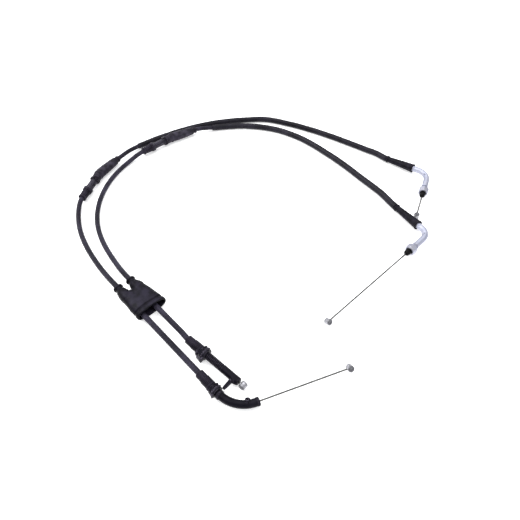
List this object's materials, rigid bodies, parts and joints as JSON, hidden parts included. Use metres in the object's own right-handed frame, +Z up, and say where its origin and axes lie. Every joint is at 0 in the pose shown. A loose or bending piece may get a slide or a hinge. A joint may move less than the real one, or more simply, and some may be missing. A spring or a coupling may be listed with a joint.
{
  "type": "throttle cable pair",
  "caption": "Pair of throttle cables, pull and return, laid out in a loop, with adjusters, plated elbows, barrel nipples and a two-necked rubber boot.",
  "frame": {"origin": "centre of the underside of the fittings' bounding box, on the surface the cables lie on", "axes": "+Z up off the bench; +X along the longer side, from the adjusters to the engine elbows; +Y from the grip ends to the top of the long sweeps"},
  "size_m": [0.4274, 0.4315, 0.0143],
  "materials": {
    "rubber": "matt moulded rubber",
    "jacket": "smooth extruded plastic",
    "moulding": "ribbed moulded plastic",
    "black_steel": "black plated steel",
    "plated_steel": "bright zinc plating",
    "wire_steel": "stranded steel",
    "zinc": "cast zinc"
  },
  "bodies": {
    "cables": {"pull_adjuster_body": "black_steel", "pull_adjuster_cap": "moulding", "pull_adjuster_cover": "rubber", "pull_crimp_sleeve": "plated_steel", "pull_engine_boot": "rubber", "pull_engine_conduit": "jacket", "pull_engine_elbow": "plated_steel", "pull_engine_seal": "rubber", "pull_grip_conduit": "jacket", "pull_grip_ferrule": "moulding", "pull_guide_tube": "black_steel", "pull_locating_arm": "black_steel", "pull_wear_sleeve": "jacket", "return_adjuster_body": "black_steel", "return_adjuster_cap": "moulding", "return_adjuster_cover": "rubber", "return_crimp_sleeve": "plated_steel", "return_engine_boot": "rubber", "return_engine_conduit": "jacket", "return_engine_elbow": "plated_steel", "return_engine_seal": "rubber", "return_grip_conduit": "jacket", "return_grip_ferrule": "moulding", "return_grip_wire": "wire_steel", "return_guide_elbow": "black_steel", "return_locating_pin": "black_steel", "return_wear_sleeve": "jacket"},
    "boot": {"cable_boot": "rubber"},
    "pull_grip_end": {"pull_grip_wire": "wire_steel", "pull_grip_nipple": "zinc"},
    "pull_engine_end": {"pull_engine_wire": "wire_steel", "pull_engine_nipple": "zinc"},
    "return_grip_end": {"return_grip_nipple": "zinc"},
    "return_engine_end": {"return_engine_wire": "wire_steel", "return_engine_nipple": "zinc"},
    "pull_grip_nut": {"pull_grip_nut": "black_steel"},
    "pull_adjuster_screw": {"pull_adjuster_screw": "black_steel"},
    "pull_lock_nut": {"pull_lock_nut": "black_steel"},
    "pull_engine_nut": {"pull_engine_nut": "plated_steel"},
    "return_grip_nut": {"return_grip_nut": "black_steel"},
    "return_adjuster_screw": {"return_adjuster_screw": "black_steel"},
    "return_lock_nut": {"return_lock_nut": "black_steel"},
    "return_engine_nut": {"return_engine_nut": "plated_steel"}
  },
  "joints": [
    {"name": "boot_slide", "type": "slide", "parent": "cables", "child": "boot", "axis": [0.6959, -0.7181, 0], "range_m": [0, 0.038]},
    {"name": "pull_grip_stroke", "type": "slide", "parent": "cables", "child": "pull_grip_end", "axis": [0.7599, -0.6491, -0.0349], "range_m": [0, 0.011]},
    {"name": "pull_engine_stroke", "type": "slide", "parent": "cables", "child": "pull_engine_end", "axis": [0.7404, 0.6714, 0.0332], "range_m": [0, 0.011]},
    {"name": "return_grip_stroke", "type": "slide", "parent": "cables", "child": "return_grip_end", "axis": [0.9297, 0.3662, -0.0384], "range_m": [0, 0.025], "deforming": ["return_grip_wire"]},
    {"name": "return_engine_stroke", "type": "slide", "parent": "cables", "child": "return_engine_end", "axis": [0.3818, 0.9216, 0.0698], "range_m": [0, 0.025]},
    {"name": "pull_grip_nut_turn", "type": "hinge", "parent": "cables", "child": "pull_grip_nut", "pos_m": [-0.0468, -0.14936, 0.00677], "axis": [0.7599, -0.6491, -0.0349], "continuous": true},
    {"name": "return_grip_nut_turn", "type": "hinge", "parent": "cables", "child": "return_grip_nut", "pos_m": [-0.03515, -0.18443, 0.00721], "axis": [0.6959, -0.7181, 0], "continuous": true},
    {"name": "pull_adjuster_turn", "type": "hinge", "parent": "cables", "child": "pull_adjuster_screw", "pos_m": [-0.1334, 0.16378, 0.00711], "axis": [0.7314, 0.682, 0], "continuous": true},
    {"name": "pull_lock_nut_turn", "type": "hinge", "parent": "cables", "child": "pull_lock_nut", "pos_m": [-0.12641, 0.17029, 0.00711], "axis": [0.7314, 0.682, 0], "continuous": true},
    {"name": "return_adjuster_turn", "type": "hinge", "parent": "cables", "child": "return_adjuster_screw", "pos_m": [-0.20353, 0.07962, 0.00711], "axis": [0.225, 0.9744, 0], "continuous": true},
    {"name": "return_lock_nut_turn", "type": "hinge", "parent": "cables", "child": "return_lock_nut", "pos_m": [-0.20138, 0.08892, 0.00711], "axis": [0.225, 0.9744, 0], "continuous": true},
    {"name": "pull_engine_nut_turn", "type": "hinge", "parent": "cables", "child": "pull_engine_nut", "pos_m": [0.1657, -0.0256, 0.00741], "axis": [-0.7404, -0.6714, -0.0332], "continuous": true},
    {"name": "return_engine_nut_turn", "type": "hinge", "parent": "cables", "child": "return_engine_nut", "pos_m": [0.2007, 0.0681, 0.00741], "axis": [-0.3818, -0.9216, -0.0698], "continuous": true}
  ],
  "couplings": [
    {"joint": "pull_engine_stroke", "follows": "pull_grip_stroke", "ratio": 1},
    {"joint": "return_engine_stroke", "follows": "return_grip_stroke", "ratio": 1}
  ]
}
